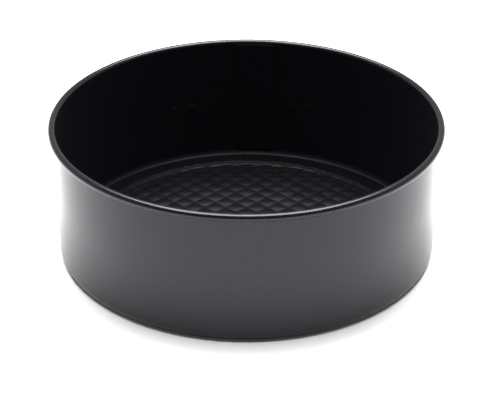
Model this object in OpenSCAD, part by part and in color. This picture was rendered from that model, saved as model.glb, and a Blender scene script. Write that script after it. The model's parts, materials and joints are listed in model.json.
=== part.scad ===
// Springform pan: a sheet-steel band with a rolled rim and an in-turned foot lip,
// a loose quilted base plate that sits on the lip, and a draw latch at the rear.
// Millimetres. Origin: centre of the foot circle, on the table. +Z is up, the latch is at +Y.
// Bearings are measured from +Y towards +X, and stand-off is measured outwards from the wall.

/* [Band] */
// Inner radius of the band
inner_r = 100; // [80:0.5:140]
// Overall height of the pan
pan_h = 74; // [60:0.5:110]
// Thickness of the band sheet
sheet_t = 0.6; // [0.5:0.05:0.9]
// Outside diameter of the rolled rim
rim_d = 4; // [3.2:0.1:5.5]
// Outside radius of the turned-in bottom edge
foot_r = 4.7; // [4:0.1:6]
// Width of the flat foot on the table
foot_flat = 0.5; // [0.4:0.1:1.5]
// Gap left between the two band ends when the latch is shut
end_gap = 0.02; // [0.01:0.01:0.5]

/* [Lap tongue] */
// Reach of the tongue behind the other band end, in degrees
lap_reach = 9; // [6:0.5:14]
// Length of the tongue's joint with its own band, in degrees
lap_weld = 3; // [2:0.5:5]
// Thickness of the tongue, coined thinner than the band
lap_t = 0.35; // [0.3:0.05:0.6]
// Clearance between the tongue and the band in front of it
lap_gap = 0.15; // [0.1:0.05:0.3]
// Distance of the tongue from the foot's bend
lap_up = 0.3; // [0.1:0.1:3]
// Distance of the tongue from the middle of the rim
lap_down = 0.3; // [0.1:0.1:6]

/* [Base plate] */
// Thickness of the base sheet
base_t = 0.8; // [0.6:0.05:1.2]
// Gap between the plate's edge and the wall
base_gap = 1.9; // [1.5:0.1:2.5]
// Width of the raised flange round the plate
flange_w = 9.4; // [7:0.1:16]
// Depth of the recessed middle
recess = 1; // [0.6:0.05:1.1]
// Width of the slope down to the middle
slope_w = 0.8; // [0.6:0.1:2]
// Clearance between the plate and its seat
seat_gap = 0.05; // [0.03:0.01:0.1]

/* [Latch layout] */
// Height of the latch's middle above the table
latch_z = 34; // [30:0.5:48]
// Bearing of the lever pin, in degrees
pin_at = 8; // [7:0.5:11]
// Stand-off of the lever pin
pin_off = 5.5; // [5.3:0.1:7]
// Crank: from the lever pin to the bail's eyes
crank = 6; // [5:0.1:6.5]
// How far the crank lies past dead centre, in degrees
over_centre = 8; // [5:0.5:12]
// Bearing of the catch hook, in degrees
hook_at = -13; // [-16:0.5:-12]
// Stand-off of the bail's end bar in the hook
hook_off = 2.4; // [2.3:0.1:2.8]

/* [Latch plates] */
// Thickness of the catch plate and the hinge bracket
plate_t = 0.8; // [0.6:0.05:1]
// Gap between a plate and the wall it is riveted to
plate_gap = 0.05; // [0.03:0.01:0.1]
// Height of the catch plate
catch_h = 14; // [12:0.5:15]
// Far end of the catch plate, in degrees
catch_end = -28; // [-32:0.5:-27]
// Room in the hook on each side of the bar
hook_room = 1.8; // [1.8:0.05:2]
// Room in the hook above the bar
hook_lift = 2.3; // [2.3:0.05:2.6]
// Reach of the hook's lip past the bar's middle
lip_reach = 1.5; // [1:0.1:2]
// Height of the hinge bracket
bracket_h = 17; // [16:0.5:17]
// Near end of the hinge bracket, in degrees
bracket_near = 4.5; // [4:0.5:5]
// Far end of the hinge bracket, in degrees
bracket_end = 27; // [26:0.5:32]
// Thickness of an ear of the bracket
ear_t = 1; // [0.8:0.1:1.2]
// Radius of an ear's round end
ear_r = 3; // [2.6:0.1:3.2]
// Where an ear meets its plate, as shares of its radius
ear_foot_near = 0.17; // [0.1:0.01:0.3]
ear_foot_far = 2; // [1.5:0.1:2.5]
// How far an ear's outer face lies inside the bracket's edge
ear_inset = 0.1; // [0.1:0.1:0.4]

/* [Lever] */
// Height of the lever
lever_h = 20; // [19:0.5:21]
// Thickness of the lever sheet
lever_t = 1; // [0.8:0.1:1.2]
// Stand-off of the lever's inner face
lever_off = 8.9; // [8.9:0.1:10]
// How far the lever starts before its pin, in degrees
lever_lead = 0.5; // [0.2:0.1:1]
// Tip of the lever, in degrees
lever_tip = 37; // [30:0.5:44]
// Diameter of the rolled tip
tip_d = 3.6; // [3:0.1:4]
// How far the rolled tip stands proud of the lever's face
tip_proud = 0.2; // [0.1:0.1:0.5]
// Radius of the lever's side flange round the pin
cheek_r = 3.2; // [3:0.1:3.3]
// How far the side flange runs past the bail's eye
cheek_lead = 0.6; // [0.4:0.1:1]
// Depth of the side flange inwards of the eye
cheek_drop = 2.6; // [2.4:0.1:2.8]
// Length of the side flange's taper past the eye
cheek_taper = 10; // [8:0.5:12]
// Outline of the lever's flange: heel, belly and back as shares of cheek_r
cheek_heel = 0.6; // [0.4:0.1:0.8]
cheek_belly = 0.9; // [0.7:0.1:1]
cheek_back = 0.15; // [0.1:0.05:0.3]
// Step at the nose, in millimetres
cheek_nose = 0.4; // [0.2:0.1:0.6]
// Dip and sink below the lever's face, as shares of its sheet
cheek_dip = 1.6; // [1.2:0.1:2]
cheek_sink = 0.3; // [0.1:0.1:0.5]
// Diameter of the lever pin
pin_d = 2.5; // [2:0.1:3]
// Diameter of the pin's riveted heads
pin_head_d = 4; // [3.5:0.1:4.5]
// Thickness of the pin's riveted heads
pin_head_t = 0.8; // [0.6:0.1:1]
// Running clearance round each pin
run_gap = 0.08; // [0.05:0.01:0.1]

/* [Bail] */
// Diameter of the bail wire
wire_d = 2; // [1.6:0.1:2]
// Distance between the bail's two arms, middle to middle
bail_span = 25; // [24.5:0.5:28]
// Bend radius of the wire
bend_r = 3; // [2.5:0.1:3.5]
// How far each eye's end stands inside the lever's flange
eye_stub = 0.6; // [0.4:0.1:1]

/* [Rivets] */
// Shank diameter
rivet_d = 3; // [2.5:0.1:3.5]
// Diameter of the domed outer head
head_d = 5; // [4.5:0.1:6]
// Height of the domed outer head
head_h = 1.2; // [0.8:0.1:1.5]
// Diameter of the flat inner head
tail_d = 4.6; // [4:0.1:5]
// Thickness of the flat inner head
tail_h = 0.4; // [0.3:0.05:0.6]
// Clearance round the shank and under the heads
rivet_gap = 0.05; // [0.03:0.01:0.08]
// Distance between two rivets, in degrees
rivet_pitch = 6; // [5:0.5:8]
// From the hook to the first rivet of the catch plate, in degrees
catch_rivet_in = 5.5; // [5:0.5:7]
// From the lever pin to the first rivet of the bracket, in degrees
bracket_rivet_in = 8; // [7:0.5:9]

/* [Hidden] */
$fn = 128;
band_colour = "#4b4b4e";
base_colour = "#2b2b2f";
steel_colour = "#b9bbbd";
wire_colour = "#cfd1d3";
pin_colour = "#8f9194";

wall_r = inner_r + sheet_t;
rim_mid = inner_r + rim_d / 2;
rim_z = pan_h - rim_d / 2;
foot_mid = wall_r - foot_r;
seat_r = foot_r - sheet_t;
gap_deg = end_gap / wall_r * 180 / PI / 2;
end_relief = 0.3;
drill = 4;
tuck = 0.98;

base_r = inner_r - base_gap;
seat_drop = sqrt(pow(seat_r, 2) - pow(base_r - foot_mid, 2));
base_under = foot_r - seat_drop + seat_gap;
step_r = base_r - flange_w;
floor_r = step_r - slope_w;

plate_face = plate_gap + plate_t;
hook_x = wire_d / 2 + hook_room;
hook_y = hook_off + wire_d / 2 + hook_lift;
hook_edge = hook_at + (hook_x + plate_t) / wall_r * 180 / PI;
catch_rivet = hook_at - catch_rivet_in;
bracket_rivet = pin_at + bracket_rivet_in;
lever_near = pin_at - lever_lead;
ear_face = bracket_h / 2 - ear_inset;
lever_face = lever_h / 2 - lever_t;
bail_len = norm(spot(hook_at, hook_off) - eye_spot());

// A point at a bearing and stand-off, and the middle of the bail's eyes on the lever's crank
function spot(bearing, off) = (wall_r + off) * [sin(bearing), cos(bearing)];
function pull() = spot(pin_at, pin_off) - spot(hook_at, hook_off);
function pull_angle() = atan2(pull()[1], pull()[0]);
function turned(angle) = [cos(angle), sin(angle)];
function eye_spot() = spot(pin_at, pin_off) + crank * turned(pull_angle() - over_centre);
function bail_angle() = let (d = spot(hook_at, hook_off) - eye_spot()) atan2(d[1], d[0]);

// Places children at a bearing: +X runs along the wall, +Y outwards from the wall's face
module at(bearing, off = 0, z = latch_z) {
    rotate([0, 0, -bearing]) translate([0, wall_r + off, z]) children();
}

// Part of a ring between two bearings, centred on the latch's height
module arc_strip(inner, outer, near, far, height, z = latch_z) {
    rotate([0, 0, 90 - far])
        translate([0, 0, z - height / 2])
            rotate_extrude(angle = far - near)
                translate([inner, 0])
                    square([outer - inner, height]);
}

// Outline of the band: lip, turned-in foot, straight wall and rolled rim
module band_outline() {
    translate([foot_mid - foot_flat, 0]) square([foot_flat, sheet_t]);
    intersection() {
        translate([foot_mid, foot_r]) difference() {
            circle(r = foot_r);
            circle(r = seat_r);
        }
        translate([foot_mid, 0]) square(foot_r);
    }
    translate([inner_r, foot_r]) square([sheet_t, rim_z - foot_r]);
    translate([rim_mid, rim_z]) difference() {
        circle(d = rim_d);
        circle(d = rim_d - 2 * sheet_t);
    }
}

// One half of the band, from the front line to its rear end
module half_band() {
    rotate([0, 0, -90]) rotate_extrude(angle = 180 - gap_deg) band_outline();
}

// Radial drillings for a row of rivets through the wall and a plate
module rivet_holes(first, way) {
    for (i = [0, 1])
        at(first + way * i * rivet_pitch, -drill / 2)
            rotate([-90, 0, 0])
                cylinder(d = rivet_d + 2 * rivet_gap, h = drill);
}

// Half outline of a rivet: flat inner head, shank and domed outer head
module rivet_outline() {
    dome_r = (pow(head_d / 2, 2) + pow(head_h, 2)) / (2 * head_h);
    under = plate_face + rivet_gap;
    inside = -sheet_t - 2 * rivet_gap;
    translate([0, inside - tail_h]) square([tail_d / 2, tail_h]);
    translate([0, inside]) square([rivet_d / 2, under - inside]);
    intersection() {
        translate([0, under + head_h - dome_r]) circle(r = dome_r);
        translate([0, under]) square([head_d, head_h]);
    }
}

// A row of two rivets, their heads outwards
module rivet_row(first, way) {
    for (i = [0, 1])
        at(first + way * i * rivet_pitch)
            rotate([-90, 0, 0])
                rotate_extrude()
                    rivet_outline();
}

module band_left() {
    tongue_out = inner_r - lap_gap;
    tongue_in = tongue_out - lap_t;
    tongue_h = rim_z - lap_down - lap_up - foot_r;
    tongue_mid = foot_r + lap_up + tongue_h / 2;
    color(band_colour) {
        difference() {
            mirror([1, 0, 0]) half_band();
            rivet_holes(catch_rivet, -1);
        }
        difference() {
            arc_strip(tongue_in, inner_r + sheet_t / 2, -lap_weld, lap_reach, tongue_h, tongue_mid);
            arc_strip(tongue_out, wall_r, -end_relief, lap_reach + 1, pan_h, tongue_mid);
        }
    }
}

module band_right() {
    color(band_colour) difference() {
        half_band();
        rivet_holes(bracket_rivet, 1);
    }
}

module base_plate() {
    top = base_under + base_t;
    color(base_colour) rotate_extrude() polygon([
        [0, base_under - recess],
        [floor_r, base_under - recess],
        [step_r, base_under],
        [base_r, base_under],
        [base_r, top],
        [step_r, top],
        [floor_r, top - recess],
        [0, top - recess],
    ]);
}

module catch_plate() {
    near = -catch_h / 2;
    color(steel_colour) {
        difference() {
            arc_strip(wall_r + plate_gap, wall_r + plate_face, catch_end, hook_edge, catch_h);
            rivet_holes(catch_rivet, -1);
        }
        at(hook_at) translate([0, 0, near]) linear_extrude(catch_h) polygon([
            [hook_x, plate_gap + plate_t / 2],
            [hook_x + plate_t, plate_gap + plate_t / 4],
            [hook_x + plate_t, hook_y + plate_t],
            [-lip_reach, hook_y + plate_t],
            [-lip_reach, hook_y],
            [hook_x, hook_y],
        ]);
    }
}

module catch_rivets() {
    color(steel_colour) rivet_row(catch_rivet, -1);
}

// Side view of one bracket ear, seen along the pin
module ear_outline() {
    translate([0, pin_off]) circle(r = ear_r);
    polygon([
        [-ear_r * tuck, pin_off],
        [-ear_r * ear_foot_near, plate_gap + plate_t / 2],
        [ear_r * ear_foot_far, plate_gap + plate_t / 2],
        [ear_r * tuck, pin_off],
    ]);
}

module hinge_bracket() {
    color(steel_colour) difference() {
        union() {
            arc_strip(wall_r + plate_gap, wall_r + plate_face, bracket_near, bracket_end, bracket_h);
            for (side = [-1, 1])
                at(pin_at, 0, latch_z + side * (ear_face - ear_t / 2) - ear_t / 2)
                    linear_extrude(ear_t)
                        ear_outline();
        }
        at(pin_at, pin_off, latch_z - bracket_h)
            cylinder(d = pin_d + 2 * run_gap, h = 2 * bracket_h);
        rivet_holes(bracket_rivet, 1);
    }
}

module bracket_rivets() {
    color(steel_colour) rivet_row(bracket_rivet, 1);
}

// Side flange of the lever, seen along the pin: round the pin, past the bail's eye, up to the face
module flange_outline() {
    eye_x = crank + cheek_lead;
    face = lever_off - pin_off + lever_t / 2;
    circle(r = cheek_r);
    polygon([
        [-cheek_r * cheek_heel, 0],
        [0, -cheek_r * cheek_belly],
        [eye_x, -cheek_drop],
        [eye_x + cheek_taper * cheek_heel, cheek_nose],
        [eye_x + cheek_taper, face - cheek_dip * lever_t],
        [eye_x, face - cheek_sink * lever_t],
        [0, face],
        [-cheek_r * cheek_back, face],
    ]);
}

module latch_lever() {
    tip_off = lever_off + lever_t + tip_proud - tip_d / 2;
    eye = eye_spot();
    color(steel_colour) difference() {
        union() {
            arc_strip(wall_r + lever_off, wall_r + lever_off + lever_t,
                      lever_near, lever_tip, lever_h);
            at(lever_tip, tip_off, latch_z - lever_h / 2) cylinder(d = tip_d, h = lever_h);
            for (low = [-lever_h / 2, lever_face])
                at(pin_at, pin_off, latch_z + low) linear_extrude(lever_t) flange_outline();
        }
        at(pin_at, pin_off, latch_z - lever_h)
            cylinder(d = pin_d + 2 * run_gap, h = 2 * lever_h);
        translate([eye[0], eye[1], latch_z - lever_h])
            cylinder(d = wire_d + 2 * run_gap, h = 2 * lever_h);
    }
}

module lever_pin() {
    half = lever_h / 2 + rivet_gap;
    color(pin_colour) at(pin_at, pin_off) {
        translate([0, 0, -half]) cylinder(d = pin_d, h = 2 * half);
        for (low = [-half - pin_head_t, half])
            translate([0, 0, low])
                cylinder(d = pin_head_d, h = pin_head_t);
    }
}

// A quarter bend of wire from +X to +Z, its middle line starting at the origin
module wire_bend() {
    translate([0, 0, bend_r]) rotate([90, 0, 0]) rotate([0, 0, -90])
        rotate_extrude(angle = 90)
            translate([bend_r, 0])
                circle(d = wire_d);
}

// One half of the bail: in-turned eye, arm and half of the end bar, seen along the arm
module half_bail() {
    eye_end = lever_face - eye_stub;
    arm_z = bail_span / 2;
    translate([0, 0, eye_end]) cylinder(d = wire_d, h = arm_z - bend_r - eye_end);
    translate([bend_r, 0, arm_z]) mirror([1, 0, 0]) mirror([0, 0, 1]) wire_bend();
    translate([bend_r, 0, arm_z]) rotate([0, 90, 0])
        cylinder(d = wire_d, h = bail_len - 2 * bend_r);
    translate([bail_len - bend_r, 0, arm_z]) mirror([0, 0, 1]) wire_bend();
    translate([bail_len, 0, 0]) cylinder(d = wire_d, h = arm_z - bend_r);
}

module latch_bail() {
    eye = eye_spot();
    color(wire_colour) translate([eye[0], eye[1], latch_z]) rotate([0, 0, bail_angle()]) {
        half_bail();
        mirror([0, 0, 1]) half_bail();
    }
}

band_left();
band_right();
base_plate();
catch_plate();
catch_rivets();
hinge_bracket();
bracket_rivets();
latch_lever();
lever_pin();
latch_bail();
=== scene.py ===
import json
from math import atan2, cos, degrees, hypot, pi, radians, sin, sqrt, tan

import bmesh
import bpy
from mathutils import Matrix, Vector
from mathutils.geometry import delaunay_2d_cdt


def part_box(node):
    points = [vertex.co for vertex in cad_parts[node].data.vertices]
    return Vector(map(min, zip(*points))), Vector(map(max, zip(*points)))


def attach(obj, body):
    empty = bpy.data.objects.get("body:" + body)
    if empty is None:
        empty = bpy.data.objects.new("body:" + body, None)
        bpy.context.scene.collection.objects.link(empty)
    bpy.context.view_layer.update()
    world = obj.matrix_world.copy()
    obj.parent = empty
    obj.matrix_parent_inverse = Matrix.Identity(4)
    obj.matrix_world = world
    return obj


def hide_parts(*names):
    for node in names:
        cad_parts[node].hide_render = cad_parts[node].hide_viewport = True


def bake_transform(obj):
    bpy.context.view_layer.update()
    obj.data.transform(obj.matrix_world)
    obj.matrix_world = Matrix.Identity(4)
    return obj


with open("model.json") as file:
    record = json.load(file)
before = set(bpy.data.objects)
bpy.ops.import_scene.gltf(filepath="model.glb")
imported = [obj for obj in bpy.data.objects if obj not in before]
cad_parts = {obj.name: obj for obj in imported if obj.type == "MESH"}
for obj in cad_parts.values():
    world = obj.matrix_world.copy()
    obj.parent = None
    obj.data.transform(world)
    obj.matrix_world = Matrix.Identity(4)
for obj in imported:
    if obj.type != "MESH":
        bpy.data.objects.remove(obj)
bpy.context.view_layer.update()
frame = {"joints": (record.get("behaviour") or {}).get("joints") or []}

# ---------------------------------------------------------------------------
# Studio: a white floor, one large softbox overhead, air that is bright behind the
# pan and dark in front of it, and the camera. The pan stands on its foot.
# ---------------------------------------------------------------------------
MM = 0.001


def linear(hex_colour):
    """An sRGB hex colour as Blender's linear RGBA."""
    parts = [int(hex_colour[i:i + 2], 16) / 255 for i in (1, 3, 5)]
    return [c / 12.92 if c <= 0.04045 else ((c + 0.055) / 1.055) ** 2.4 for c in parts] + [1.0]


def put(tree, kind, inputs=None, **settings):
    """Adds a node with its settings; inputs gives each socket a value or another node's output."""
    made = tree.nodes.new(kind)
    for name, value in settings.items():
        setattr(made, name, value)
    for socket, value in (inputs or {}).items():
        if isinstance(value, bpy.types.NodeSocket):
            tree.links.new(value, made.inputs[socket])
        else:
            made.inputs[socket].default_value = value
    return made


def new_material(name):
    """An empty node material and its tree."""
    made = bpy.data.materials.new(name)
    made.use_nodes = True
    made.node_tree.nodes.clear()
    return made, made.node_tree


def new_object(name, verts, faces, materials, face_slots=None, smooth_under=35):
    """A mesh object from metre coordinates, smooth where its faces meet at less than an angle."""
    mesh = bpy.data.meshes.new(name)
    mesh.from_pydata(verts, [], faces)
    for material in materials:
        mesh.materials.append(material)
    if face_slots:
        mesh.polygons.foreach_set("material_index", face_slots)
    made = bpy.data.objects.new(name, mesh)
    bpy.context.scene.collection.objects.link(made)
    shaped = bmesh.new()
    shaped.from_mesh(mesh)
    bmesh.ops.recalc_face_normals(shaped, faces=shaped.faces)
    for edge in shaped.edges:
        edge.smooth = len(edge.link_faces) == 2 and edge.calc_face_angle(0) < radians(smooth_under)
    for face in shaped.faces:
        face.smooth = True
    shaped.to_mesh(mesh)
    shaped.free()
    return made


scene = bpy.context.scene
scene.view_settings.view_transform = "Standard"

floor_half = 4.0
floor_white, tree = new_material("white_paper_sweep")
paper = put(tree, "ShaderNodeBsdfPrincipled", {
    "Base Color": linear("#f4f4f4"), "Roughness": 0.9, "Specular IOR Level": 0.1,
    "Emission Color": linear("#ffffff"), "Emission Strength": 0.03})
put(tree, "ShaderNodeOutputMaterial", {"Surface": paper.outputs[0]})
floor = new_object(
    "studio_floor",
    [(x * floor_half, y * floor_half, 0) for x, y in ((-1, -1), (1, -1), (1, 1), (-1, 1))],
    [(0, 1, 2, 3)], [floor_white])

sky = bpy.data.worlds.new("studio_air")
sky.use_nodes = True
sky.node_tree.nodes.clear()
towards = put(sky.node_tree, "ShaderNodeTexCoord").outputs["Generated"]
rearwards = put(sky.node_tree, "ShaderNodeSeparateXYZ", {0: towards}).outputs["Y"]
glow = put(sky.node_tree, "ShaderNodeMapRange", {
    "Value": rearwards, "From Min": -0.7, "From Max": 0.6, "To Min": 0.02, "To Max": 0.7},
    interpolation_type="SMOOTHSTEP")
air = put(sky.node_tree, "ShaderNodeBackground", {"Strength": glow.outputs[0]})
put(sky.node_tree, "ShaderNodeOutputWorld", {"Surface": air.outputs[0]})
scene.world = sky

softbox_place = Vector((0, 0.33, 1.6))
softbox_size = 1.5
softbox_radiance = 10.6
lamp = bpy.data.lights.new("overhead_softbox", "AREA")
lamp.shape = "SQUARE"
lamp.size = softbox_size
lamp.energy = softbox_radiance * 4 * softbox_size ** 2
softbox = bpy.data.objects.new("overhead_softbox", lamp)
softbox.location = softbox_place
softbox.rotation_euler = (-softbox_place).to_track_quat("-Z", "Y").to_euler()
scene.collection.objects.link(softbox)

camera_lift = radians(28.6)
camera_reach = 0.9654
aim = Vector((0, 0, 0.0339))
eye = aim + camera_reach * Vector((0, -cos(camera_lift), sin(camera_lift)))
lens = bpy.data.cameras.new("studio_camera")
lens.lens = 131.7
lens.sensor_width = 36
lens.shift_y = -0.0319
camera = bpy.data.objects.new("studio_camera", lens)
camera.location = eye
camera.rotation_euler = (aim - eye).to_track_quat("-Z", "Y").to_euler()
scene.collection.objects.link(camera)
scene.camera = camera

# ---------------------------------------------------------------------------
# Band: one strip of 0.6 mm sheet steel, rolled outwards at the rim and turned in
# at the foot, coated outside in charcoal and inside in near-black non-stick.
# It is drawn as a front half that stays in place and two rear quarters, which move with the band's two ends
# and meet at the joint.
# ---------------------------------------------------------------------------
band_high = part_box("band_right")[1]
rim_r = band_high[0]
pan_h = band_high[2]
sheet = 0.6 * MM
rim_tube = 2.0 * MM
wall_in = rim_r - 2 * rim_tube
wall_out = wall_in + sheet
foot_out = 4.7 * MM
foot_in = foot_out - sheet
foot_mid = wall_out - foot_out
foot_flat = 0.5 * MM
foot_nick = 0.1 * MM
rim_mid = (rim_r - rim_tube, pan_h - rim_tube)
ring_steps = 720


def arc(centre, radius, start, end, steps):
    """Points on an arc, from one angle in degrees to another."""
    turn = [radians(start + (end - start) * i / steps) for i in range(steps + 1)]
    return [(centre[0] + radius * cos(a), centre[1] + radius * sin(a)) for a in turn]


curl_end = -118
wall_steps = 12
foot_steps = 14
curl_steps = 40
wall_rise = rim_mid[1] - foot_out
# A short first step beside each bend keeps the flat face next to it shaded flat.
hold = 0.2 * MM
wall_marks = [hold] + [wall_rise * i / wall_steps for i in range(1, wall_steps)] + [wall_rise - hold]
outside_line = (
    [(foot_mid - foot_flat + foot_nick, 0), (foot_mid, 0)]
    + arc((foot_mid, foot_out), foot_out, -90, 0, foot_steps)[1:]
    + [(wall_out, foot_out + rise) for rise in wall_marks]
    + arc(rim_mid, rim_tube - sheet, 180, curl_end, curl_steps)
)
inside_line = (
    arc(rim_mid, rim_tube, curl_end, 180, curl_steps)
    + [(wall_in, rim_mid[1] - fall) for fall in wall_marks]
    + arc((foot_mid, foot_out), foot_in, 0, -90, foot_steps)
    + [(foot_mid - foot_flat, sheet), (foot_mid - foot_flat, foot_nick)]
)
band_line = outside_line + inside_line
coat_change = len(outside_line) + curl_steps


def sweep_band(name, start, end, materials):
    """Part of the ring between two angles in degrees, closed at both ends."""
    steps = round(ring_steps * (end - start) / 360)
    count = len(band_line)
    verts, faces, slots = [], [], []
    for i in range(steps + 1):
        turn = radians(start + (end - start) * i / steps)
        verts += [(r * cos(turn), r * sin(turn), z) for r, z in band_line]
    for i in range(steps):
        for k in range(count):
            near, far = i * count, (i + 1) * count
            after = (k + 1) % count
            faces.append((near + k, far + k, far + after, near + after))
            slots.append(1 if coat_change <= k < count - 1 else 0)
    faces += [tuple(range(count)), tuple(range(steps * count, (steps + 1) * count))]
    slots += [0, 0]
    return new_object(name, verts, faces, materials, slots)


haze_size = 14 * MM
haze_spread = 0.05
peel_size = 1.6 * MM
peel_depth = 0.05 * MM
coat_tint = "#f6f4ff"


def coating(name, deep, light, grain, gloss, peel, ior):
    """A baked non-stick coat: fine mottle, satin gloss and a faint orange peel."""
    made, tree = new_material(name)
    place = put(tree, "ShaderNodeTexCoord").outputs["Object"]
    mottle = put(tree, "ShaderNodeTexNoise", {"Vector": place, "Scale": 1 / grain, "Detail": 3.0})
    shade = put(tree, "ShaderNodeMix", {
        0: mottle.outputs["Fac"], 6: linear(deep), 7: linear(light)}, data_type="RGBA")
    haze = put(tree, "ShaderNodeTexNoise", {"Vector": place, "Scale": 1 / haze_size, "Detail": 4.0})
    satin = put(tree, "ShaderNodeMapRange", {
        "Value": haze.outputs["Fac"], "To Min": gloss - haze_spread, "To Max": gloss + haze_spread})
    skin = put(tree, "ShaderNodeTexNoise", {"Vector": place, "Scale": 1 / peel_size, "Detail": 2.0})
    bump = put(tree, "ShaderNodeBump", {
        "Height": skin.outputs["Fac"], "Strength": peel, "Distance": peel_depth})
    coat = put(tree, "ShaderNodeBsdfPrincipled", {
        "Base Color": shade.outputs[2], "Roughness": satin.outputs[0], "IOR": ior,
        "Specular Tint": linear(coat_tint), "Normal": bump.outputs[0]})
    put(tree, "ShaderNodeOutputMaterial", {"Surface": coat.outputs[0]})
    return made


# Charcoal non-stick with metal flake, sprayed outside: dark, satin, with a fine cool sparkle.
# The flake is drawn at 0.9 mm, coarser than the real 0.1 mm, so that it shows.
coat_outside = coating(
    "charcoal_nonstick", "#010101", "#202024", grain=0.9 * MM, gloss=0.17, peel=0.4, ior=1.41)
# Near-black non-stick without flake, inside: almost no colour, only a soft sheen.
coat_inside = coating(
    "black_nonstick", "#100f13", "#1a191e", grain=0.8 * MM, gloss=0.42, peel=0.2, ior=1.33)

band_coats = [coat_outside, coat_inside]
band_front = sweep_band("band_front", 180, 360, band_coats)
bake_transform(band_front)
band_rear_right = sweep_band("band_rear_right", 0, 90, band_coats)
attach(band_rear_right, "band_right")
band_rear_left = sweep_band("band_rear_left", 90, 180, band_coats)
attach(band_rear_left, "band_left")
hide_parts("band_left")
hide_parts("band_right")

# ---------------------------------------------------------------------------
# Lap tongue: a thin strip welded inside the left end of the band. It lies behind
# the right end and closes the joint. Coated near-black with the inside.
# ---------------------------------------------------------------------------
lap_turn = 9
lap_weld_turn = 3
lap_gap = 0.15 * MM
lap_sheet = 0.35 * MM
lap_margin = 0.3 * MM
lap_corner = 1.2 * MM
lap_out = wall_in - lap_gap
lap_in = lap_out - lap_sheet
lap_low = foot_out + lap_margin
lap_high = rim_mid[1] - lap_margin


def lap_tongue():
    """The strip as a bent slab with four rounded corners, in a grid across and up."""
    across, up = 48, 24
    verts, faces = [], []
    for depth in (lap_in, lap_out):
        for i in range(across + 1):
            share = i / across
            turn = radians(90 + lap_weld_turn - (lap_weld_turn + lap_turn) * share)
            side = min(1 - share, share) * (lap_weld_turn + lap_turn) * pi / 180 * lap_out
            drop = lap_corner - sqrt(lap_corner ** 2 - (lap_corner - min(side, lap_corner)) ** 2)
            for k in range(up + 1):
                z = lap_low + drop + (lap_high - lap_low - 2 * drop) * k / up
                verts.append((depth * cos(turn), depth * sin(turn), z))
    row = up + 1
    half = (across + 1) * row
    for i in range(across):
        for k in range(up):
            a = i * row + k
            faces.append((a, a + 1, a + row + 1, a + row))
            faces.append((half + a, half + a + row, half + a + row + 1, half + a + 1))
    for i in range(across):
        for k in (0, up):
            a = i * row + k
            faces.append((a, a + row, half + a + row, half + a))
    for i in (0, across):
        for k in range(up):
            a = i * row + k
            faces.append((a, a + 1, half + a + 1, half + a))
    return new_object("lap_tongue", verts, faces, [coat_inside])


tongue = lap_tongue()
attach(tongue, "band_left")

# ---------------------------------------------------------------------------
# Base plate: a loose disc of 0.8 mm steel, pressed with a recessed middle and
# a diamond pattern of small pillows, coated near-black all over. It lies on the
# curved lip of the band.
# ---------------------------------------------------------------------------
base_low, base_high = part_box("base_plate")
base_r = base_high[0]
base_sheet = 0.8 * MM
flange_top = base_high[2]
floor_top = base_low[2] + base_sheet
flange_width = 9.4 * MM
step_run = 0.8 * MM
step_r = base_r - flange_width
floor_r = step_r - step_run
pillow_pitch = 8.24 * MM
pillow_rise = 0.42 * MM
pillow_cuts = (-1, -0.86, -0.62, -0.32, 0, 0.32, 0.62, 0.86)
plain_margin = 2.5 * MM


def pillow(x, y):
    """Height of the pressed pattern over the plain floor of the plate."""
    u, v = ((x + y) / sqrt(2), (y - x) / sqrt(2))
    across = [abs(2 * ((c / pillow_pitch) % 1) - 1) for c in (u, v)]
    fade = min(1, max(0, (floor_r - hypot(x, y)) / plain_margin))
    return pillow_rise * fade * (1 - across[0] ** 2) * (1 - across[1] ** 2)


reach = int(floor_r / pillow_pitch) + 2
lines = [(k + (1 + c) / 2) * pillow_pitch for k in range(-reach, reach) for c in pillow_cuts]
inner_dots = [Vector(((u - v) / sqrt(2), (u + v) / sqrt(2))) for u in lines for v in lines]
dot_margin = 0.5 * MM
inner_dots = [p for p in inner_dots if p.length < floor_r - dot_margin]
edge_steps = 360
edge_dots = [Vector(p) for p in arc((0, 0), floor_r, 0, 360, edge_steps)[:-1]]
edge_pairs = [(i, (i + 1) % edge_steps) for i in range(edge_steps)]
dots, _, tiles, *_ = delaunay_2d_cdt(edge_dots + inner_dots, edge_pairs, [], 1, 1e-7)

shoulder = 0.08 * MM
slope = degrees(atan2(flange_top - floor_top, step_r - floor_r))
edge_roll = 0.3 * MM
upper = (
    [(floor_r, floor_top)]
    + arc((step_r + shoulder * tan(radians(slope / 2)), flange_top - shoulder), shoulder, 90 + slope, 90, 5)
    + [(step_r + 3 * shoulder, flange_top), (base_r - edge_roll - hold, flange_top)]
    + arc((base_r - edge_roll, flange_top - edge_roll), edge_roll, 90, 0, 4)
)
lower = (
    arc((base_r - edge_roll, flange_top - base_sheet + edge_roll), edge_roll, 0, -90, 4)
    + [(base_r - edge_roll - hold, flange_top - base_sheet), (step_r, flange_top - base_sheet)]
    + [(floor_r, floor_top - base_sheet)]
)
plate_line = upper + lower
verts, faces = [], []
for i in range(edge_steps):
    turn = 2 * pi * i / edge_steps
    verts += [(r * cos(turn), r * sin(turn), z) for r, z in plate_line]
count = len(plate_line)
for i in range(edge_steps):
    near, far = i * count, (i + 1) % edge_steps * count
    faces += [(near + k, far + k, far + k + 1, near + k + 1) for k in range(count - 1)]
for side, depth in ((0, 0), (count - 1, base_sheet)):
    start = len(verts)
    number = {}
    for i, p in enumerate(dots):
        if p.length > floor_r - dot_margin / 2:
            number[i] = round(degrees(atan2(p.y, p.x)) * edge_steps / 360) % edge_steps * count + side
        else:
            number[i] = len(verts)
            verts.append((p.x, p.y, floor_top - depth + pillow(p.x, p.y)))
    faces += [tuple(number[i] for i in tile) for tile in tiles]

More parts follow.
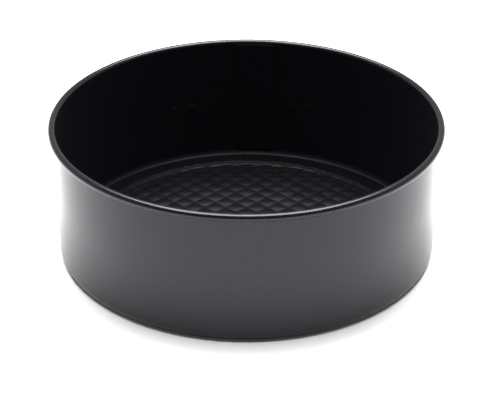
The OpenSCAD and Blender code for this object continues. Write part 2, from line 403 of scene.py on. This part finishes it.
# Near-black non-stick over the pressed pattern: glossier than the wall, so each pillow catches light.
coat_base = coating(
    "black_nonstick_pressed", "#040405", "#0b0b0d", grain=0.8 * MM, gloss=0.28, peel=0.2, ior=1.46)
quilted_base = new_object("quilted_base", verts, faces, [coat_base])
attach(quilted_base, "base")
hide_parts("base_plate")

# ---------------------------------------------------------------------------
# Catch plate: 0.8 mm pressed steel on the left end of the band, its end bent out
# and back into a hook for the bail's end bar. Nickel-plated, held by two rivets.
# ---------------------------------------------------------------------------
places = {joint["name"]: joint.get("pos_m") for joint in frame["joints"]}
latch_z = places["lever_swing"][2]
pin_spot = Vector(places["lever_swing"][:2])
eye_spot = Vector(places["bail_swing"][:2])
wire_r = 1 * MM
bail_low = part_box("latch_bail")[0]
hook_spot = Vector((bail_low[0] + wire_r, bail_low[1] + wire_r))

plate = 0.8 * MM
plate_gap = 0.05 * MM
plate_mid = plate_gap + plate / 2
catch_height = 14 * MM
catch_corner = 3 * MM
catch_start = -28
hook_leg = 2.8 * MM + plate / 2
hook_top = 5.7 * MM + plate / 2
hook_lip = -1.5 * MM
hook_bend = 1.2 * MM
edge_round = 0.2 * MM


def bearing_of(spot):
    """The bearing of a plan point in degrees, from the rear towards the right."""
    return degrees(atan2(spot.x, spot.y))


def beside(bearing, along, off):
    """A plan point from its distances along and off the wall's outer face at a bearing."""
    turn = radians(bearing)
    out = Vector((sin(turn), cos(turn)))
    return out * (wall_out + off) + Vector((out.y, -out.x)) * along


def along_wall(start, end, off, step=0.4):
    """Plan points that follow the wall at a stand-off, from one bearing to another."""
    count = max(2, round(abs(end - start) / step))
    return [beside(start + (end - start) * i / count, 0, off) for i in range(count + 1)]


def eased(points, radius, loop=False, steps=6):
    """The same plan line with every corner rounded."""
    made = []
    last = len(points) - 1
    for i, spot in enumerate(points):
        if not loop and i in (0, last):
            made.append(spot)
            continue
        back, ahead = points[i - 1] - spot, points[(i + 1) % len(points)] - spot
        turn = pi - back.angle(ahead)
        if turn < radians(4):
            made.append(spot)
            continue
        cut = min(radius * tan(turn / 2), back.length * 0.45, ahead.length * 0.45)
        enter, leave = spot + back.normalized() * cut, spot + ahead.normalized() * cut
        for k in range(steps + 1):
            t = k / steps
            made.append(enter * (1 - t) ** 2 + spot * 2 * t * (1 - t) + leave * t ** 2)
    return made


def drawn_in(distance, radius):
    """How far a quarter-round edge lies back at a distance from its end."""
    left = max(0.0, radius - distance)
    return radius - sqrt(radius ** 2 - left ** 2)


def bent_strip(path, thick, height, corner):
    """Sheet of a thickness and height bent along a plan path, its edges and four corners rounded."""
    travel = [0.0]
    for a, b in zip(path, path[1:]):
        travel.append(travel[-1] + (b - a).length)
    whole = travel[-1]
    ends = [0, 0.3 * edge_round, edge_round] + [corner * share for share in (0.2, 0.4, 0.6, 0.8, 1)]
    stops = sorted(set(ends + [whole - d for d in ends] + travel[1:-1]))
    verts, faces = [], []
    ring = 16
    seg = 0
    for stop in stops:
        while seg < len(travel) - 2 and travel[seg + 1] < stop:
            seg += 1
        share = (stop - travel[seg]) / (travel[seg + 1] - travel[seg])
        spot = path[seg].lerp(path[seg + 1], share)
        near = path[max(0, seg - 1 if share < 0.5 else seg)]
        far = path[min(len(path) - 1, seg + 1 if share < 0.5 else seg + 2)]
        side = Vector((-(far - near).y, (far - near).x)).normalized()
        rest = min(stop, whole - stop)
        half_t = thick / 2 - drawn_in(rest, edge_round)
        half_h = height / 2 - max(drawn_in(rest, corner), drawn_in(rest, edge_round))
        bend = min(edge_round, half_t)
        for turn, sx, sz in ((0, 1, 1), (90, -1, 1), (180, -1, -1), (270, 1, -1)):
            for k in range(4):
                angle = radians(turn + 30 * k)
                off = sx * (half_t - bend) + bend * cos(angle)
                up = sz * (half_h - bend) + bend * sin(angle)
                verts.append((*(spot + side * off), latch_z + up))
    for i in range(len(stops) - 1):
        for k in range(ring):
            a, b = i * ring + k, i * ring + (k + 1) % ring
            faces.append((a, b, b + ring, a + ring))
    faces += [tuple(range(ring)), tuple(range(len(verts) - ring, len(verts)))]
    return verts, faces


def welded(*shells):
    """Several shells gathered as one list of points and one of faces."""
    verts, faces = [], []
    for more_verts, more_faces in shells:
        faces += [tuple(i + len(verts) for i in face) for face in more_faces]
        verts += more_verts
    return verts, faces


grain_stretch = 0.12
grain_bump = 0.12
grain_depth = 0.02 * MM


def plated(name, tint, low_gloss, high_gloss, grain):
    """Plated steel: a metal with a faint rolled grain along the wall and a little haze."""
    made, tree = new_material(name)
    place = put(tree, "ShaderNodeTexCoord").outputs["Object"]
    drawn = put(tree, "ShaderNodeMapping", {"Vector": place, "Scale": (grain_stretch, grain_stretch, 1)})
    lines = put(tree, "ShaderNodeTexNoise", {
        "Vector": drawn.outputs[0], "Scale": 1 / grain, "Detail": 4.0})
    gloss = put(tree, "ShaderNodeMapRange", {
        "Value": lines.outputs["Fac"], "To Min": low_gloss, "To Max": high_gloss})
    bump = put(tree, "ShaderNodeBump", {
        "Height": lines.outputs["Fac"], "Strength": grain_bump, "Distance": grain_depth})
    metal = put(tree, "ShaderNodeBsdfPrincipled", {
        "Base Color": linear(tint), "Metallic": 1.0, "Roughness": gloss.outputs[0],
        "Normal": bump.outputs[0]})
    put(tree, "ShaderNodeOutputMaterial", {"Surface": metal.outputs[0]})
    return made


# Nickel plate on pressed steel: a slightly warm grey with soft reflections. All the plated
# tints are darker than the real metals, so that they keep their shading over the bright floor.
nickel = plated("nickel_plated_steel", "#86837d", 0.22, 0.34, grain=0.8 * MM)

hook_at = bearing_of(hook_spot)
catch_path = eased(
    along_wall(catch_start, hook_at, plate_mid)
    + [beside(hook_at, hook_leg, plate_mid), beside(hook_at, hook_leg, hook_top),
       beside(hook_at, hook_lip, hook_top)], hook_bend)
catch_sheet = bent_strip(catch_path, plate, catch_height, catch_corner)
catch = new_object("catch_hook_plate", *catch_sheet, [nickel])
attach(catch, "band_left")
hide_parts("catch_plate")

# ---------------------------------------------------------------------------
# Hinge bracket: 0.8 mm pressed steel on the right end of the band, with two
# upright ears that carry the lever's pin. Nickel-plated, held by two rivets.
# ---------------------------------------------------------------------------
bracket_height = 17 * MM
bracket_start = 4.5
bracket_stop = 27
bracket_corner = 3.5 * MM
ear = 1 * MM
ear_inset = 0.1 * MM
ear_face = bracket_height / 2 - ear_inset
ear_round = 3 * MM
ear_bend = 0.4 * MM
ear_foot = (-0.5 * MM, 6 * MM)
pin_at = bearing_of(pin_spot)
pin_off = pin_spot.length - wall_out


def cut_plate(outline, low, high):
    """A flat plate with a plan outline between two heights, its edges rounded."""
    count = len(outline)
    area = sum(a.x * b.y - b.x * a.y for a, b in zip(outline, outline[1:] + outline[:1]))
    inwards = 1 if area > 0 else -1
    levels = [(1, low), (0.3, low + 0.3 * edge_round), (0, low + edge_round),
              (0, high - edge_round), (0.3, high - 0.3 * edge_round), (1, high)]
    verts, faces = [], []
    for inset, z in levels:
        for i, spot in enumerate(outline):
            run = (outline[(i + 1) % count] - outline[i - 1]).normalized()
            inner = spot + Vector((-run.y, run.x)) * inwards * inset * edge_round
            verts.append((*inner, z))
    for i in range(len(levels) - 1):
        for k in range(count):
            a, b = i * count + k, i * count + (k + 1) % count
            faces.append((a, b, b + count, a + count))
    faces += [tuple(range(count)), tuple(range(len(verts) - count, len(verts)))]
    return verts, faces


ear_line = eased(
    [beside(pin_at, x, y) for x, y in arc((0, pin_off), ear_round, 0, 180, 20)]
    + [beside(pin_at, ear_foot[0], plate_mid), beside(pin_at, ear_foot[1], plate_mid)],
    ear_bend, loop=True)
ears = [cut_plate(ear_line, latch_z + low, latch_z + low + ear) for low in (-ear_face, ear_face - ear)]
bracket_sheet = bent_strip(
    along_wall(bracket_start, bracket_stop, plate_mid), plate, bracket_height, bracket_corner)
bracket = new_object("hinge_ear_bracket", *welded(bracket_sheet, *ears), [nickel])
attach(bracket, "band_right")
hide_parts("hinge_bracket")

# ---------------------------------------------------------------------------
# Rivets: plated steel, a domed head outside on each plate and a low flat head
# inside that is coated with the band, two through each plate.
# ---------------------------------------------------------------------------
rivet_r = 1.5 * MM
dome_r = 2.5 * MM
dome_rise = 1.2 * MM
low_head_r = 2.3 * MM
low_head_in = 0.85 * MM
rivet_pitch = 6
catch_rivet_in = 5.5
bracket_rivet_in = 8


def revolved(line, spot, axis, steps=40):
    """A closed form turned round an axis, from radii and heights that start and end on it."""
    axis = Vector(axis).normalized()
    across = axis.orthogonal().normalized()
    other = axis.cross(across)
    verts = [Vector(spot) + axis * line[0][1]]
    faces = []
    for radius, rise in line[1:-1]:
        for i in range(steps):
            turn = 2 * pi * i / steps
            verts.append(Vector(spot) + axis * rise + radius * (across * cos(turn) + other * sin(turn)))
    verts.append(Vector(spot) + axis * line[-1][1])
    last = len(verts) - 1
    for i in range(steps):
        after = (i + 1) % steps
        faces.append((0, 1 + i, 1 + after))
        faces.append((last, last - steps + after, last - steps + i))
        for k in range(len(line) - 3):
            a = 1 + k * steps
            faces.append((a + i, a + after, a + steps + after, a + steps + i))
    return [tuple(v) for v in verts], faces


def dome(radius, base, rise, steps=8):
    """Half profile of a shallow dome, from its edge to its top."""
    ball = (radius ** 2 + rise ** 2) / (2 * rise)
    spread = atan2(radius, ball - rise)
    turns = [spread * (1 - i / steps) for i in range(steps + 1)]
    return [(ball * sin(t), base + rise - ball * (1 - cos(t))) for t in turns]


# Zinc plate on the rivet heads: a cooler and duller grey than the nickel round them.
zinc = plated("zinc_plated_rivet", "#777b7e", 0.26, 0.42, grain=0.4 * MM)
under = plate_mid + plate / 2
low_head = [(r, -sheet - (low_head_in - sheet) * (1 - (r / low_head_r) ** 6))
            for r in (0, 0.6 * low_head_r, 0.8 * low_head_r, 0.9 * low_head_r, low_head_r)]
rivet_line = low_head + [(rivet_r, -sheet), (rivet_r, under)] + dome(dome_r, under, dome_rise)
for name, first, way, body, node in (
        ("catch_rivet", hook_at - catch_rivet_in, -1, "band_left", "catch_rivets"),
        ("bracket_rivet", pin_at + bracket_rivet_in, 1, "band_right", "bracket_rivets")):
    for i in (0, 1):
        bearing = first + way * i * rivet_pitch
        foot = beside(bearing, 0, 0)
        verts, faces = revolved(rivet_line, (*foot, latch_z), (*foot, 0))
        inner = [hypot(*[sum(verts[k][axis] for k in face) / len(face) for axis in (0, 1)]) < wall_out
                 for face in faces]
        rivet = new_object(f"{name}_{i + 1}", verts, faces, [zinc, coat_inside], [int(f) for f in inner])
        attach(rivet, body)
        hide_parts(node)

# ---------------------------------------------------------------------------
# Lever: 1 mm steel pressed into a channel, a long face that follows the wall and
# a flange each side round the pin, its tip rolled for the finger. Nickel-plated.
# ---------------------------------------------------------------------------
lever_sheet = 1 * MM
lever_height = 20 * MM
lever_off = 8.9 * MM
lever_mid = lever_off + lever_sheet / 2
lever_lead = 0.5
lever_stop = 37
lever_corner = 0.8 * MM
tip_r = 1.8 * MM
tip_proud = 0.2 * MM
tip_off = lever_mid + lever_sheet / 2 + tip_proud - tip_r
curl_run = 0.8
curl_turn = (82, -165)
cheek_r = 3.2 * MM
cheek_turn = (118, 268)
cheek_ends = ((6.6 * MM, -2.6 * MM), (12.6 * MM, 0.4 * MM))
cheek_stop = 16.6 * MM
cheek_back = -0.9 * MM
cheek_tuck = 0.3 * MM
cheek_bend = 2.5 * MM

curl = [beside(lever_stop, x, y)
        for x, y in arc((0, tip_off), tip_r - lever_sheet / 2, *curl_turn, 26)]
face_path = along_wall(pin_at - lever_lead, lever_stop - curl_run, lever_mid) + curl
face_sheet = bent_strip(face_path, lever_sheet, lever_height, lever_corner)


def under_face(x):
    """A plan point just inside the lever's face, at a distance along it from the pin."""
    face_r = wall_out + lever_mid - cheek_tuck
    return beside(pin_at, x, sqrt(face_r ** 2 - x ** 2) - wall_out)


cheek_line = eased(
    [beside(pin_at, x, y) for x, y in arc((0, pin_off), cheek_r, *cheek_turn, 20)]
    + [beside(pin_at, x, pin_off + y) for x, y in cheek_ends]
    + [under_face(cheek_stop * (1 - i / 6) + cheek_back * i / 6) for i in range(7)],
    cheek_bend, loop=True)
cheeks = [cut_plate(cheek_line, latch_z + low, latch_z + low + lever_sheet)
          for low in (-lever_height / 2, lever_height / 2 - lever_sheet)]
lever = new_object("channel_lever", *welded(face_sheet, *cheeks), [nickel])
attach(lever, "lever")
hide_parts("latch_lever")

# ---------------------------------------------------------------------------
# Lever pin: 2.5 mm steel, through the ears and the lever's flanges, headed over
# at both ends. Zinc-plated.
# ---------------------------------------------------------------------------
pin_r = 1.25 * MM
pin_head_r = 2 * MM
pin_head_rise = 0.8 * MM
pin_clear = 0.05 * MM
pin_half = lever_height / 2 + pin_clear
top_head = dome(pin_head_r, pin_half, pin_head_rise)
pin_line = [(r, -z) for r, z in reversed(top_head)] + [(pin_r, -pin_half), (pin_r, pin_half)] + top_head
pin = new_object("headed_pin", *revolved(pin_line, (*pin_spot, latch_z), (0, 0, 1)), [zinc])
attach(pin, "band_right")
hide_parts("lever_pin")

# ---------------------------------------------------------------------------
# Bail: one 2 mm wire bent to a long loop. Its ends turn in through the lever's
# flanges, and its end bar hooks into the catch plate. Bright drawn steel.
# ---------------------------------------------------------------------------
bail_reach = (hook_spot - eye_spot).length
bail_way = (hook_spot - eye_spot).normalized()
arm_z = 12.5 * MM
wire_bend = 3 * MM
eye_stub = 0.6 * MM
eye_end = lever_height / 2 - lever_sheet - eye_stub
bend_steps = 10
half_wire = (
    [(0, eye_end), (0, arm_z - wire_bend)]
    + arc((wire_bend, arm_z - wire_bend), wire_bend, 180, 90, bend_steps)[1:]
    + arc((bail_reach - wire_bend, arm_z - wire_bend), wire_bend, 90, 0, bend_steps)
)
wire_line = half_wire + [(u, -z) for u, z in reversed(half_wire)]


def wire_loop(line, steps=20):
    """Round wire along a line of reach and height, its two cut ends slightly domed."""
    spots = [Vector((*(eye_spot + bail_way * u), latch_z + z)) for u, z in line]
    flat = Vector((-bail_way.y, bail_way.x, 0))
    runs = [(b - a).normalized() for a, b in zip(spots, spots[1:])]
    cut_dome = [(0.3 * wire_r * (1 - k), sqrt(1 - 0.6 * (1 - k))) for k in (0.0, 0.5)]
    rings = [(spots[0] - runs[0] * out, runs[0], share) for out, share in cut_dome]
    for i, spot in enumerate(spots):
        run = runs[min(i, len(runs) - 1)] + runs[max(0, i - 1)]
        rings.append((spot, run.normalized(), 1))
    rings += [(spots[-1] + runs[-1] * out, runs[-1], share) for out, share in reversed(cut_dome)]
    verts, faces = [], []
    for spot, run, share in rings:
        up = run.cross(flat)
        for k in range(steps):
            turn = 2 * pi * k / steps
            verts.append(tuple(spot + wire_r * share * (flat * cos(turn) + up * sin(turn))))
    for i in range(len(rings) - 1):
        for k in range(steps):
            a, b = i * steps + k, i * steps + (k + 1) % steps
            faces.append((a, b, b + steps, a + steps))
    faces += [tuple(range(steps)), tuple(range(len(verts) - steps, len(verts)))]
    return verts, faces


# Drawn wire left bright: the smoothest and lightest metal of the latch.
bright_wire = plated("bright_drawn_wire", "#949698", 0.12, 0.22, grain=0.3 * MM)
bail = new_object("wire_bail", *wire_loop(wire_line), [bright_wire])
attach(bail, "bail")
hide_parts("latch_bail")
